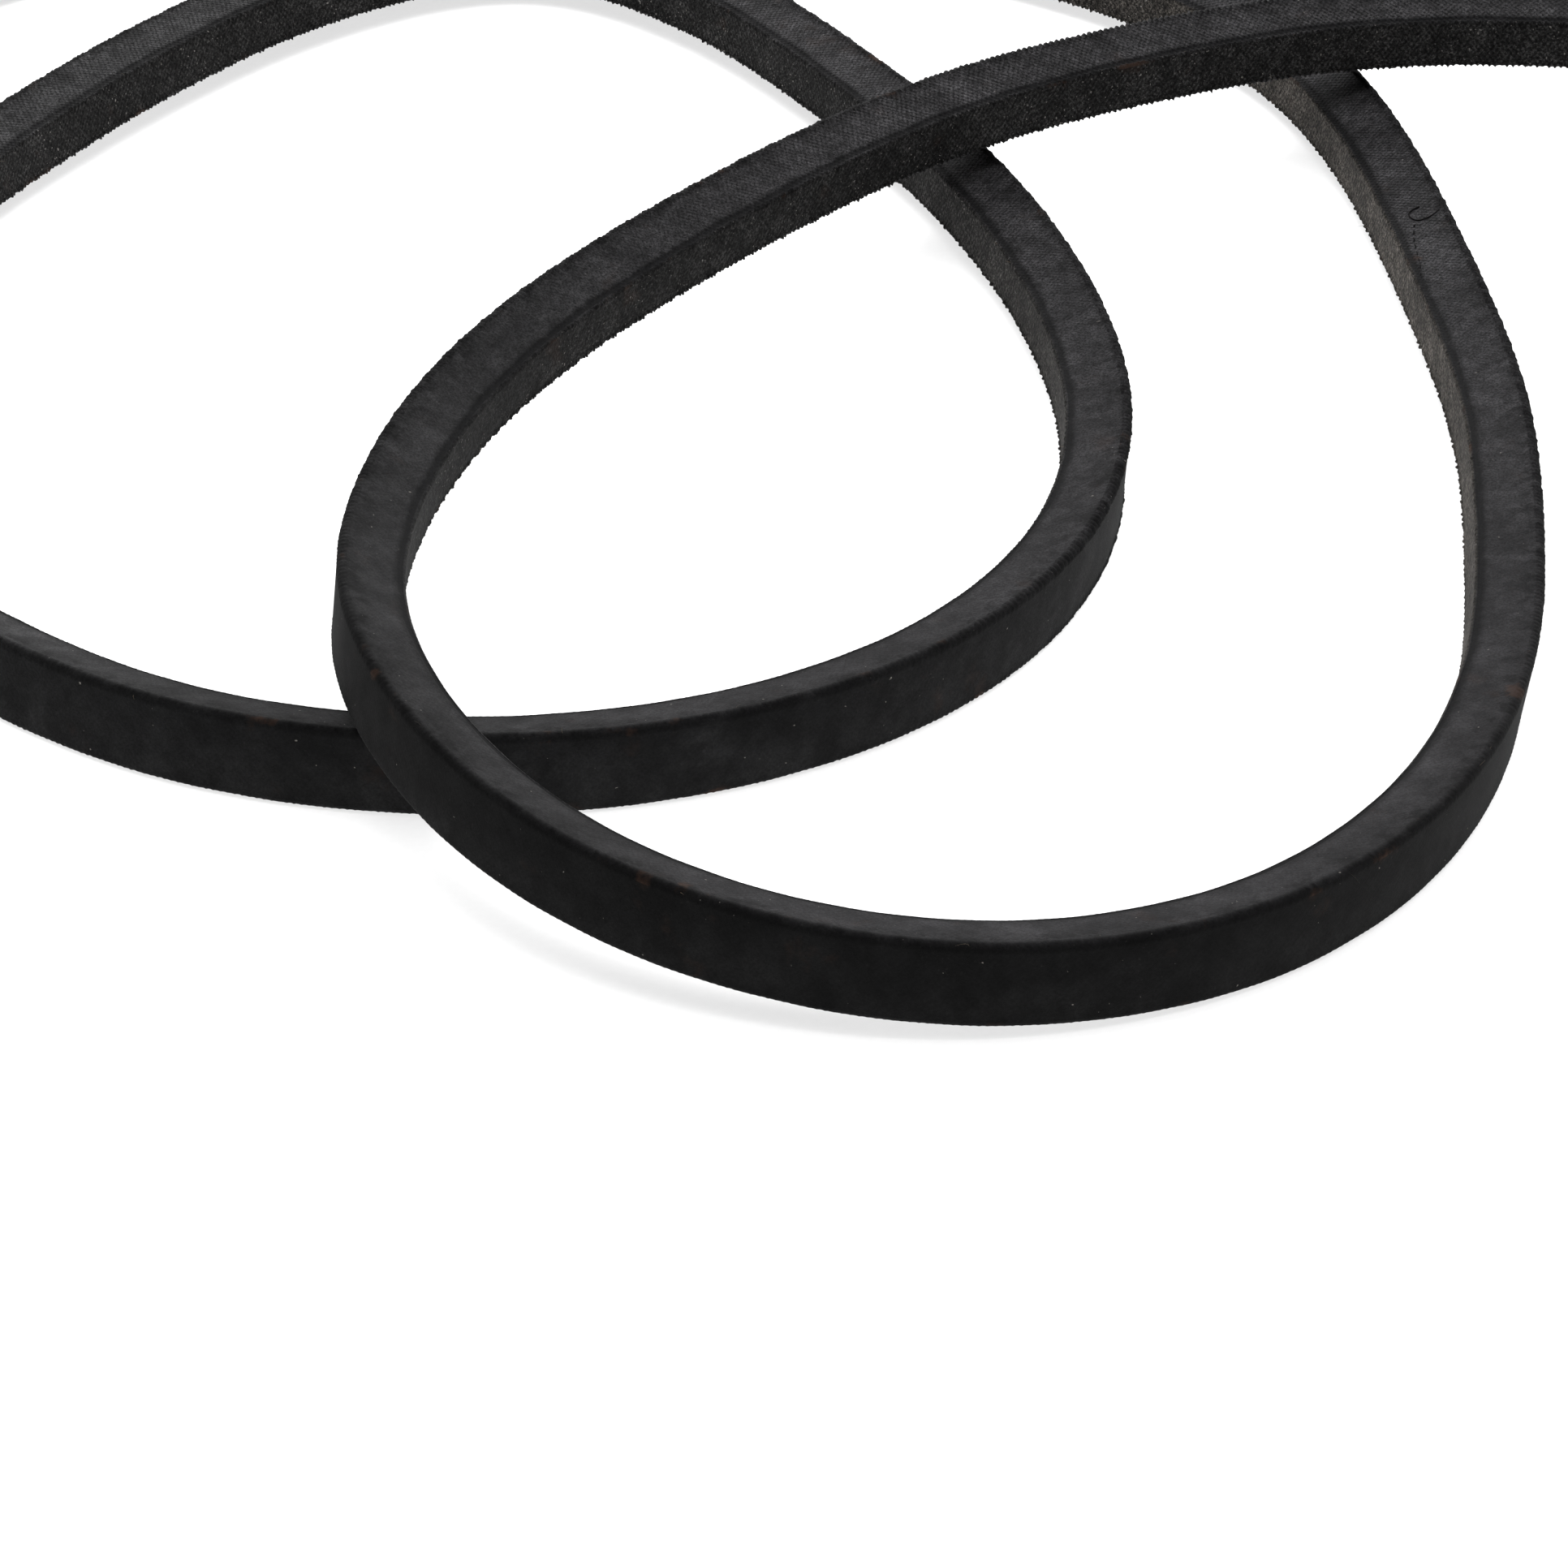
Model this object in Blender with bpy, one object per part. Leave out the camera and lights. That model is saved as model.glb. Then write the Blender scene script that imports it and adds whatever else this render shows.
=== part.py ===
"""Wrapped V-belt of A section, coiled in three loops and lying on its side.

The belt is one endless band. Each layer of its section is swept round the same closed
route, through the same stations, so that the layers stay parallel and never touch.
The world origin is on the floor, under the middle of the coil.
"""

import math

import bmesh
import bpy
import numpy as np

MM = 0.001  # every size below is in millimetres

# The section. u runs across the thickness, outwards from the bends, and v across the width.
TOP_WIDTH = 13.2
THICKNESS = 9.3
FLANK_ANGLE = math.radians(17)
OUTER_PLY = 0.5
INNER_PLY = 0.45
LAYER_GAP = 0.1
CORNER_CUT = 0.7  # how much of each edge the jacket's rounded corners take
SEAM_GAP = 0.4  # between the two edges of a wrapped ply
OUTER_SEAM = 0.88  # place of the seam across a flank, from 0 at the wide face to 1
INNER_SEAM = 0.4
TOP_RUBBER = 0.9
CUSHION = 0.5  # each of the two thin rubber layers that hold the cords
CORD_DIAMETER = 1.0
CORD_PITCH = 1.12
CORD_TURNS = 7
CORD_SIDES = 6

# The coil. Each point is x, y, the clear height under the belt, and the belt's lean in
# degrees: positive where its wide face looks up. Travel is anticlockwise from above.
ROUTE = (
    # high strand: over the end of its own loop, then over the second loop
    (112, 157, 13.7, -2),
    (74, 157, 13.7, 0),
    (41, 145, 13.7, 0.5),
    (11.2, 127, 13.7, 2),
    (-15.9, 100.7, 13.7, 4),
    (-37.7, 73.4, 13.7, 6),
    (-57.1, 42.2, 13.7, 7.5),
    (-69.6, 8, 13.7, 7.5),
    (-73.5, -27, 13.7, 6),
    (-71.1, -44.6, 13.8, 5.5),
    # down to the floor and round the first small loop
    (-54.9, -75.5, 9.5, 3),
    (-26, -95.7, 4.5, -0.5),
    (10, -101, 1.4, -4),
    (44, -87, 0, -5),
    (67, -59, 0, -6.5),
    (78, -27, 0, -8),
    (83, 10, 0, -7.5),
    (85, 45, 0, -5),
    (83, 82, 0, -2.5),
    (79, 119, 0, -0.5),
    (73, 153, 0, 0.5),
    (60, 186, 0, 0.5),
    (34, 215, 0, 0),
    # wide bend behind the second loop
    (-12, 240, 0, 0),
    (-86, 248, 0, 0),
    (-156, 219, 0, 0),
    (-195, 158, 0, 0),
    (-197, 85, 0, 0),
    (-170, 26, 0, 1),
    # second small loop
    (-132, -14, 0, 3),
    (-103, -37, 0, 0.5),
    (-69, -47.8, 0, -2),
    (-34, -44.8, 0, -4),
    (-3, -27.8, 0, -5),
    (18.4, 1.5, 0, -5),
    (27, 37, 0, -4),
    (25, 74, 0, -4),
    (17, 108, 0, -3.5),
    (4, 142, 0, -4),
    (-13, 174, 0, -5),
    (-33, 203, 0, -6),
    (-62, 221.5, 0, -7),
    (-95, 207, 0, -8),
    (-118, 181, 0, -8),
    (-137, 151, 0, -5),
    (-146, 134, 0, -3),
    # over the wide bend
    (-163, 92, 6.5, 0),
    (-178, 50, 13.8, 0),
    (-190, 8, 13.2, 0),
    # large loop, outside the two small ones
    (-207, -55, 5, 0),
    (-187, -145, 0, 0),
    (-107, -229, 0, 0),
    (0, -249.5, 0, 0),
    (107, -229, 0, 0),
    (187, -145, 0, 0),
    (207, -55, 0, 0),
    (205, 8, 1.5, -1),
    (192, 68, 7, -2),
    (169, 118, 12, -3),
    (142, 146, 13.7, -4),
)
BEND_SAG = 0.4  # how far a flat facet may leave the true bend
LONGEST_FACET = 26.0
ROUTE_SAMPLES = 6000

# Colours as linear RGB, roughness, metallic
FABRIC = ((0.040, 0.040, 0.043), 0.85, 0.0)
INNER_FABRIC = ((0.060, 0.057, 0.052), 0.9, 0.0)
BLACK_RUBBER = ((0.012, 0.012, 0.013), 0.6, 0.0)
CUSHION_RUBBER = ((0.030, 0.024, 0.020), 0.55, 0.0)
CORD_YARN = ((0.42, 0.26, 0.16), 0.8, 0.0)


def clear_scene():
    for item in list(bpy.data.objects):
        bpy.data.objects.remove(item)


# ---- the route


def closed_spline(points, samples):
    """A smooth closed curve through the points, as evenly spread samples of the parameter."""
    steps = np.linalg.norm(np.roll(points, -1, axis=0)[:, :2] - points[:, :2], axis=1)
    count = len(points)
    before = np.roll(steps, 1)
    rise = (np.roll(points, -1, axis=0) - points) / steps[:, None]
    matrix = np.zeros((count, count))
    for i in range(count):
        matrix[i, i - 1] = before[i]
        matrix[i, i] = 2 * (before[i] + steps[i])
        matrix[i, (i + 1) % count] = steps[i]
    bend = np.linalg.solve(matrix, 6 * (rise - np.roll(rise, 1, axis=0)))
    starts = np.concatenate([[0], np.cumsum(steps)])
    at = np.arange(samples) / samples * starts[-1]
    i = np.searchsorted(starts, at, side="right") - 1
    j = (i + 1) % count
    a = ((starts[i + 1] - at) / steps[i])[:, None]
    b = 1 - a
    size = (steps[i] ** 2 / 6)[:, None]
    return a * points[i] + b * points[j] + ((a**3 - a) * bend[i] + (b**3 - b) * bend[j]) * size


def lowest_corner(lean):
    """How far the section's lowest corner is below its middle, for a lean in radians."""
    corners = np.array(cut_corners(trapezoid(0), CORNER_CUT))
    heights = corners[:, :1] * np.sin(lean) + corners[:, 1:] * np.cos(lean)
    return -heights.min(axis=0)


def route_samples():
    """Dense points along the middle of the section, and the lean at each of them."""
    dense = closed_spline(np.array(ROUTE, float), ROUTE_SAMPLES)
    lean = np.radians(dense[:, 3])
    height = np.maximum(dense[:, 2], 0) + lowest_corner(lean)
    return np.column_stack([dense[:, :2], height]), lean


def stations():
    """Where the sections stand: middle, outward axis and widthwise axis of each."""
    middle, lean = route_samples()
    ahead = np.roll(middle, -1, axis=0) - middle
    behind = middle - np.roll(middle, 1, axis=0)
    length = np.linalg.norm(ahead, axis=1)
    along = ahead + behind
    along /= np.linalg.norm(along, axis=1)[:, None]
    turn = np.linalg.norm(np.roll(along, -1, axis=0) - along, axis=1)
    radius = length / np.maximum(turn, 1e-6)
    facet = np.minimum(np.sqrt(8 * radius * BEND_SAG), LONGEST_FACET)
    passed = np.cumsum(length / facet)
    count = round(passed[-1])
    chosen = np.searchsorted(passed, np.arange(count) * passed[-1] / count)
    across = np.cross(along, (0, 0, 1))
    across /= np.linalg.norm(across, axis=1)[:, None]
    upward = np.cross(across, along)
    cos, sin = np.cos(lean)[:, None], np.sin(lean)[:, None]
    outward = across * cos + upward * sin
    widthwise = upward * cos - across * sin
    return middle[chosen], outward[chosen], widthwise[chosen]


# ---- the section's outlines, as (u, v) points


def half_width(u, inset=0.0):
    """Half the width of the V at u, with the flanks moved in by inset."""
    narrowing = (THICKNESS / 2 - u) * math.tan(FLANK_ANGLE)
    return TOP_WIDTH / 2 - narrowing - inset / math.cos(FLANK_ANGLE)


def trapezoid(inset):
    """The V outline moved in by inset, from the wide face's upper corner round."""
    wide, narrow = THICKNESS / 2 - inset, inset - THICKNESS / 2
    return [
        (wide, half_width(wide, inset)),
        (narrow, half_width(narrow, inset)),
        (narrow, -half_width(narrow, inset)),
        (wide, -half_width(wide, inset)),
    ]


def slab(inset, top, bottom):
    """A layer of the core between two values of u, as wide as the V is there."""
    return [
        (top, half_width(top, inset)),
        (bottom, half_width(bottom, inset)),
        (bottom, -half_width(bottom, inset)),
        (top, -half_width(top, inset)),
    ]


def cut_corners(points, cut):
    points = np.array(points, float)
    result = []
    for i, corner in enumerate(points):
        for neighbour in (points[i - 1], points[(i + 1) % len(points)]):
            away = neighbour - corner
            result.append(corner + away / np.linalg.norm(away) * cut)
    return result


def wrapped_ply(outside, inside, thickness, flank, place):
    """A ply between two outlines, open at a seam on the flank after the given corner."""
    corners = trapezoid(0)
    along = np.array(corners[flank + 1]) - corners[flank]
    along /= np.linalg.norm(along)
    inward = np.array((-along[1], along[0]))
    per_corner = len(outside) // 4
    start = np.array(outside[per_corner * (flank + 1) - 1])
    end = np.array(outside[per_corner * (flank + 1)])
    middle = start + (end - start) * place
    near, far = middle - along * SEAM_GAP / 2, middle + along * SEAM_GAP / 2
    outer_path = [far] + from_corner(outside, flank + 1) + [near]
    inner_path = [far + inward * thickness] + from_corner(inside, flank + 1)
    inner_path.append(near + inward * thickness)
    return outer_path + inner_path[::-1]


def from_corner(outline, corner):
    """The outline's points, starting at one of its four corners."""
    first = len(outline) // 4 * corner
    return list(outline[first:]) + list(outline[:first])


def cord_outline(u, v):
    angles = [2 * math.pi * (k + 0.5) / CORD_SIDES for k in range(CORD_SIDES)]
    radius = CORD_DIAMETER / 2
    return [(u + radius * math.cos(a), v - radius * math.sin(a)) for a in angles]


# ---- solids


def plain_material(name, look):
    colour, roughness, metallic = look
    material = bpy.data.materials.new(name)
    material.use_nodes = True
    shader = material.node_tree.nodes["Principled BSDF"]
    shader.inputs["Base Color"].default_value = (*colour, 1)
    shader.inputs["Roughness"].default_value = roughness
    shader.inputs["Metallic"].default_value = metallic
    material.diffuse_color = (*colour, 1)
    return material


def slopes_up(start, end):
    """Which diagonal a facet takes, so that two layers that face each other take the same."""
    return (round(end[1] - start[1], 6), end[0] - start[0]) > (0, 0)


def add_facet_pair(mesh, ring, following, k, m, upward):
    """The two triangles between neighbouring stations, along one side of the outline."""
    if upward:
        mesh.faces.new((ring[m], following[m], following[k]))
        mesh.faces.new((ring[m], following[k], ring[k]))
    else:
        mesh.faces.new((ring[k], ring[m], following[m]))
        mesh.faces.new((ring[k], following[m], following[k]))


def sweep(name, outline, places, look):
    """One endless layer: the outline carried round every station and joined up."""
    middle, outward, widthwise = places
    mesh = bmesh.new()
    rings = []
    for centre, out, side in zip(middle, outward, widthwise):
        rings.append([mesh.verts.new((centre + out * u + side * v) * MM) for u, v in outline])
    for ring, following in zip(rings, rings[1:] + rings[:1]):
        for k in range(len(outline)):
            m = (k + 1) % len(outline)
            add_facet_pair(mesh, ring, following, k, m, slopes_up(outline[k], outline[m]))
    bmesh.ops.recalc_face_normals(mesh, faces=mesh.faces)
    data = bpy.data.meshes.new(name)
    mesh.to_mesh(data)
    mesh.free()
    data.materials.append(plain_material(name, look))
    item = bpy.data.objects.new(name, data)
    bpy.context.scene.collection.objects.link(item)
    return item


def build_jacket(places):
    """Two wrapped plies of rubbered fabric, with their seams on opposite flanks."""
    outside = cut_corners(trapezoid(0), CORNER_CUT)
    inside = trapezoid(OUTER_PLY)
    outer = wrapped_ply(outside, inside, OUTER_PLY, 0, OUTER_SEAM)
    sweep("cover_outer_ply", outer, places, FABRIC)
    inset = OUTER_PLY + LAYER_GAP
    outside, inside = trapezoid(inset), trapezoid(inset + INNER_PLY)
    inner = wrapped_ply(outside, inside, INNER_PLY, 2, INNER_SEAM)
    sweep("cover_inner_ply", inner, places, INNER_FABRIC)


def build_core(places):
    """The layers inside the jacket, from the wide face down to the narrow one."""
    inset = OUTER_PLY + INNER_PLY + 2 * LAYER_GAP
    u = THICKNESS / 2 - inset
    sweep("top_rubber", slab(inset, u, u - TOP_RUBBER), places, BLACK_RUBBER)
    u -= TOP_RUBBER + LAYER_GAP
    sweep("cord_cushion_outer", slab(inset, u, u - CUSHION), places, CUSHION_RUBBER)
    u -= CUSHION + LAYER_GAP
    cord_line = u - CORD_DIAMETER / 2
    for turn in range(CORD_TURNS):
        v = (turn - (CORD_TURNS - 1) / 2) * CORD_PITCH
        sweep(f"tensile_cord_turn_{turn + 1}", cord_outline(cord_line, v), places, CORD_YARN)
    u -= CORD_DIAMETER + LAYER_GAP
    sweep("cord_cushion_inner", slab(inset, u, u - CUSHION), places, CUSHION_RUBBER)
    u -= CUSHION + LAYER_GAP
    bottom = inset - THICKNESS / 2
    sweep("compression_rubber", slab(inset, u, bottom), places, BLACK_RUBBER)


clear_scene()
coil = stations()
build_jacket(coil)
build_core(coil)
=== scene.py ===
"""A wrapped V-belt that lies in a loose coil of three loops on a pale studio floor."""

import math

import bpy
import numpy as np
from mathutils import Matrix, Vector


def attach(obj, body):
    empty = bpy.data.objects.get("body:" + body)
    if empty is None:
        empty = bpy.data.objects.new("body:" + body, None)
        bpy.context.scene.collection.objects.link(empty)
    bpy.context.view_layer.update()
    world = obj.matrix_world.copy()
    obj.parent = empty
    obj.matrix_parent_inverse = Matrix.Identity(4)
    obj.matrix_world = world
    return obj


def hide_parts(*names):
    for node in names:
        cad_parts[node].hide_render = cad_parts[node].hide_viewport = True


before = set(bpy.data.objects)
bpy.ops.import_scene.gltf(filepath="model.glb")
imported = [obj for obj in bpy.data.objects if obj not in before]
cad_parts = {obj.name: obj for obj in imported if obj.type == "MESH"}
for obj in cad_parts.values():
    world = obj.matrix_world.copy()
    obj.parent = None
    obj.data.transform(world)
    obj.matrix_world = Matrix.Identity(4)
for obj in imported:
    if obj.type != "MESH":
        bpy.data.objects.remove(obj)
MM = 0.001

# ---- the belt's section, in millimetres: u points out of the wide face, v across the belt

TOP_WIDTH = 13.2
THICKNESS = 9.3
FLANK_SLOPE = math.tan(math.radians(17))
CORNER_CUT = 0.7  # how far from a corner the CAD section is cut off
WIDE_RADIUS = 0.95  # rounding of the two sharp edges of the wide face
NARROW_RADIUS = 0.6
CORNER_STEPS = 7
FACE_STEPS = 9  # points across a flat face, closest together at its ends
EDGE_BEND = 0.3  # change of the normal from one point to the next but one that counts as an edge
QUIET_EDGE = 0.35  # share of the bumps that an edge with few of them gets
NARROW_TURN = 0.36  # how far a normal turns that way before it counts as the narrow face
SEAM_STEPS = 5
SHOULDER = 2.4  # how far the shoulder reaches from the wide face, where the flank takes painted shade
SEAM_STEP_WIDTH = 0.16  # spacing of the points beside the seam
SEAM_PLACE = 0.88  # of the upper flank, from the wide face

# ---- the way that the belt lies: x, y and lift in millimetres, lean in degrees

ROUTE = [
    (112, 157, 13.7, -2), (74, 157, 13.7, 0), (41, 145, 13.7, 0.5), (11.2, 127, 13.7, 2),
    (-15.9, 100.7, 13.7, 4), (-37.7, 73.4, 13.7, 6), (-57.1, 42.2, 13.7, 7.5), (-69.6, 8, 13.7, 7.5),
    (-73.5, -27, 13.7, 6), (-71.1, -44.6, 13.8, 5.5), (-54.9, -75.5, 9.5, 3), (-26, -95.7, 4.5, -0.5),
    (10, -101, 1.4, -4), (44, -87, 0, -5), (67, -59, 0, -6.5), (78, -27, 0, -8),
    (83, 10, 0, -7.5), (85, 45, 0, -5), (83, 82, 0, -2.5), (79, 119, 0, -0.5),
    (73, 153, 0, 0.5), (60, 186, 0, 0.5), (34, 215, 0, 0), (-12, 240, 0, 0),
    (-86, 248, 0, 0), (-156, 219, 0, 0), (-195, 158, 0, 0), (-197, 85, 0, 0),
    (-170, 26, 0, 1), (-132, -14, 0, 3), (-103, -37, 0, 0.5), (-69, -47.8, 0, -2),
    (-34, -44.8, 0, -4), (-3, -27.8, 0, -5), (18.4, 1.5, 0, -5), (27, 37, 0, -4),
    (25, 74, 0, -4), (17, 108, 0, -3.5), (4, 142, 0, -4), (-13, 174, 0, -5),
    (-33, 203, 0, -6), (-62, 221.5, 0, -7), (-95, 207, 0, -8), (-118, 181, 0, -8),
    (-137, 151, 0, -5), (-146, 134, 0, -3), (-163, 92, 6.5, 0), (-178, 50, 13.8, 0),
    (-190, 8, 13.2, 0), (-207, -55, 5, 0), (-187, -145, 0, 0), (-107, -229, 0, 0),
    (0, -249.5, 0, 0), (107, -229, 0, 0), (187, -145, 0, 0), (207, -55, 0, 0),
    (205, 8, 1.5, -1), (192, 68, 7, -2), (169, 118, 12, -3), (142, 146, 13.7, -4),
]
ROUTE_SAMPLES = 12000

# ---- the fabric: threads on the bias, with whole numbers of them round the belt

THREAD_ALONG = 1.0  # spacing of the threads along the belt, in millimetres
THREAD_AROUND = 1.22  # and round the section
SECTIONS_PER_THREAD = 3
EDGE_TOOTH = 0.34  # height of the threads where the fabric folds over an edge
TOOTH_LEVEL = 0.4  # level that this height swings about
TOOTH_UNEVEN = 0.8  # how much the height differs from thread to thread
TOOTH_STAND = 0.3  # how far all of them stand out
EDGE_NIBBLE = 0.2  # height of the longer, uneven lumps along the lower edge of the narrow face
NIBBLE_STAND = 0.15  # how far all of them stand out
NIBBLE_SLANT = 3  # how far a lump runs along the belt for each millimetre round it
SWELL = 0.07  # slow unevenness of the surface
SEAM_DEPTH = 0.12  # step down from the lapped ply to the strip beside the narrow face
SEAM_STRIP = 0.95  # width of that strip
SEAM_WANDER = 0.22  # how far the seam strays from its place
SEAM_LAP = (0.05, 1.5)  # height of the lapped ply's raised edge, and how far back it fades
SEAM_SOFT = (0.1, 0.3)  # softness of the strip's two sides
SEAM_FRAY = 1.4  # how ragged the dark strip's start looks
SEAM_START, SEAM_END = (-0.3, 1.1), (-0.2, 0.3)  # where it darkens and where it pales again
SEAM_STRENGTH = 0.85  # how much of the strip's tone it takes
FABRIC_RELIEF = 0.075  # height of the threads in the material
INTERLACE = 0.6  # how far a thread rises and dips, against its own height
SMOOTH_FRONT = 0.12  # share of the edge bumps that the front strands keep
SMOOTH_FRONT_Y = (-5, 15)  # y at the middle of that change, and its softness

# ---- sine waves that close round the belt: whole counts, and phases

THREAD_WAVES = (487, 769, 1289), (2.2, 0.5, 3.3)
LUMP_WAVES = (1531, 1171, 823), (0.4, 2.7, 1.1)
SEAM_WAVES = (37, 91, 173), (0.3, 1.9, 4.0)
SWELL_WAVES = (61, 113, 197), (0.9, 2.2, 5.1)
TWIST_WAVES = (83, 149, 311), (3.9, 0.2, 1.4)

# ---- brown stains: x, y and z in millimetres, and radius

STAINS = [
    (-71, -58, 25, 1.1), (79, -41, 12.8, 2.0), (-30, -97, 17.5, 1.0),
    (78.5, 94, 10.6, 1.3), (-52, 49, 20.5, 0.8),
]
STAIN_FRAY = (2.2, -1.1)  # noise that makes a stain's rim uneven: its size and its offset
STAIN_RIM, STAIN_STRENGTH = (0.3, 1.2), 0.45

# ---- where the wide face is rubbed pale: x, y and z in millimetres, and radius

RUBBED = [(-27, -50, 8, 6.5), (-52, -54, 8, 3.5)]
RUBBED_CORE = 0.2  # share of the radius that is rubbed most
RUBBED_GAIN = 0.9  # how much lighter it is there

# ---- loose fibres along the edges

FIBRES = 150
FIBRE_RADIUS = 0.022
FIBRE_LENGTH = (0.5, 1.7)
FIBRE_POINTS = 5
FIBRE_LEAN = (0.9, 0.35)  # how unevenly a fibre leans along the belt, and in any direction
FIBRE_CURL = (0.2, 0.9)
FIBRE_ROOT = 0.1  # how deep it starts in the cover
FIBRE_EDGE = 0.9  # edge value that a point needs to hold a fibre
FIBRE_SEED = 11
TUBE_SIDES = 4  # round each fibre and the pulled thread
TUBE_END = 0.35  # size of a tube's end, against its start
TUBE_TILT = (0.31, 0.52, 0.79)  # a direction that no tube follows

# ---- a pulled thread on the upper flank: points in millimetres along the belt and across it

PULLED_NEAR = (80.6, 108.0)  # x and y of the belt's middle beside it
PULLED_HOOK = [(2.4, 0.5), (1.8, -1.3), (-0.3, -1.5), (-2.1, -0.6), (-1.8, 1.3), (-0.4, 3.0)]
PULLED_TAIL = [(-3.1, -1.4), (-6.9, -2.3), (-9.7, -2.6), (-12.8, -2.9), (-16, -3.1), (-19.4, -3.7)]
PULLED_RADIUS = 0.17
PULLED_STITCH = 2.3  # length of a stitch of the tail, which dips in and out of the cloth
HOOK_DEPTH = -0.5  # how deep the hook's middle lies in the cloth, in radii
STITCH_DEPTH = (0.1, 1.2)  # mean depth of the tail and its swing, in radii
SMOOTHING_ROUNDS = 3  # rounds of corner cutting that smooth its line
SMOOTHING_CUT = 0.25  # share of each side that a round cuts off

# ---- camera and studio

VIEW_CENTRE = Vector((-0.018, -0.044, 0.0))
VIEW_PITCH = math.radians(31.02)
VIEW_HEIGHT = 0.3876
VIEW_LENS = 129.8
VIEW_SENSOR = 36.0
NEAR_CLIP = 0.05
FLOOR_RADIUS = 3.0
FLOOR_CORNERS = 48
WORLD_LIGHT = 0.08

# ---- lamps: name, place in metres, power in watts, width and depth in metres

TOP_LAMP = ("softbox_top", (0.0, 0.35, 1.6), 24, 2.0, 1.6)
PAPER_LAMP = ("softbox_paper", (0.0, 0.0, 1.6), 40, 2.0, 2.0)
BELT_LAMPS = (
    ("softbox_back", (0.1, 2.0, 0.75), 46, 2.6, 1.2),
    ("softbox_left", (-1.7, 0.3, 0.7), 0.8, 1.4, 1.2),
    ("softbox_right", (1.7, 0.3, 0.7), 4.5, 1.4, 1.2),
)

# ---- the cover's tones, as linear red, green and blue

FLANK_DARK = (0.024, 0.0236, 0.0244)
FLANK_PALE = (0.0295, 0.0285, 0.0302)
FLANK_LEFT = (0.032, 0.0315, 0.0325)
# the wide face: darker at the top and lighter towards the bottom, as painted light from the floor's
# bounce
BACK_TOP, BACK_BOUNCE_LIT = (0.0043, 0.0043, 0.0044), (0.0088, 0.0088, 0.0089)
UNDER_TOP, UNDER_BOUNCE_LIT = (0.0072, 0.0072, 0.0075), (0.014, 0.014, 0.0143)
NARROW_TONE = (0.0135, 0.0132, 0.013)
# dust and painted sheen: the paler, browner narrow face of the low right-hand strands
DUST_AND_SHEEN_TONE = (0.048, 0.043, 0.038)
RUST_TONE = (0.068, 0.037, 0.025)
LINT_TONE = (0.34, 0.32, 0.29)
# painted glints: the tone of pale specks that stand in for sparkling fibres
GLINT_TONE = (0.4, 0.38, 0.36)
SEAM_TONE = (0.005, 0.005, 0.0054)

# ---- where the cover's look changes: ranges of x, y or z in metres

PALER_X = (-0.085, 0.0)
LEFT_X = (-0.13, -0.09)
UNDER_X, UNDER_Y, UNDER_Z = (0.025, 0.045), (-0.085, -0.065), (0.0125, 0.0145)
DUST_AND_SHEEN_X, DUST_AND_SHEEN_Z = (-0.01, 0.08), (0.011, 0.016)
CRISP_Y, CRISP = (0.03, 0.125), (0.12, 1)  # strength of the weave
FINE_Y, FINE = (-0.06, 0.12), (0.45, 1.7)  # strength of grime and smudges
# painted shade on the flank's shoulder by the wide face, strongest on the front strands
SHOULDER_Y, SHOULDER_PAINTED_SHADE = (-0.06, 0.03), (-0.62, -0.3)

# ---- light and dark of the cover, against its own tone

WEAVE_SHADE = (0.35, 1.5), (-0.5, 0.36)  # heights of the weave, and what they take or add
EDGE_SHADE = 0.86  # on the section's edges
SHOULDER_GAIN = 1.12  # on all that the painted shade on the shoulder doesn't darken
MOTTLE_REACH = (0.05, 0.4)  # shoulder values between which the mottling sets in
RUST_EDGES = (0.2, 1), (0.12, 0.5)  # edge values, and how much rust they hold
GLINT_WEAVE = 0.35  # share of the painted glints that the crisp weave has

# ---- the cover's surface

ROUGH = 0.97
WEAVE_ROUGH = (0.3, 1.6), (0, -0.18)  # heights of the weave, and how much smoother they are
FUZZ, FUZZ_HEIGHT = (5200, 2, 0.6), 0.6  # noise between the threads, and its share of their height
SPECULAR = 0.12
SHEEN, SHEEN_ROUGH = 0.015, 0.45

# ---- noise on the cover: scale, detail and roughness, the range it is read in, and what it gives

UNEVEN_WEAVE = (350, 3, 0.5), (0.3, 0.7), (0.45, 1)
BLOTCHES = (190, 4, 0.6), (0.3, 0.7), (0.7, 1.26)
PATCHES = (70, 3, 0.6), (0.3, 0.7), (0.85, 1.2)
SMUDGES = (560, 4, 0.75), (0.36, 0.64), (-0.19, 0.16)
GRIME = (3000, 3, 0.8), (0.36, 0.64), (-0.45, 0.46)
GRAIN = (1700, 2, 0.8), (0.38, 0.62), (-0.58, 0.72)
MOTTLE = (330, 4, 0.7), (0.47, 0.6), (0, -0.45)
RUBBED_NOISE = (260, 3, 0.5), (0.3, 0.6), (0, 1)
RUST = (120, 5, 0.6), (0.6, 0.72), (0, 1)
LINT = (1500, 1, 0.4), (0.79, 0.83), (0, 0.5)
# painted glints: pale specks, and the clusters that they gather in
GLINT_DOTS = (2500, 0, 0.5), (0.75, 0.81), (0, 0.42)
GLINT_CLUSTERS = (110, 2, 0.5), (0.45, 0.65), (0.25, 1)


# ---- route


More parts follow.
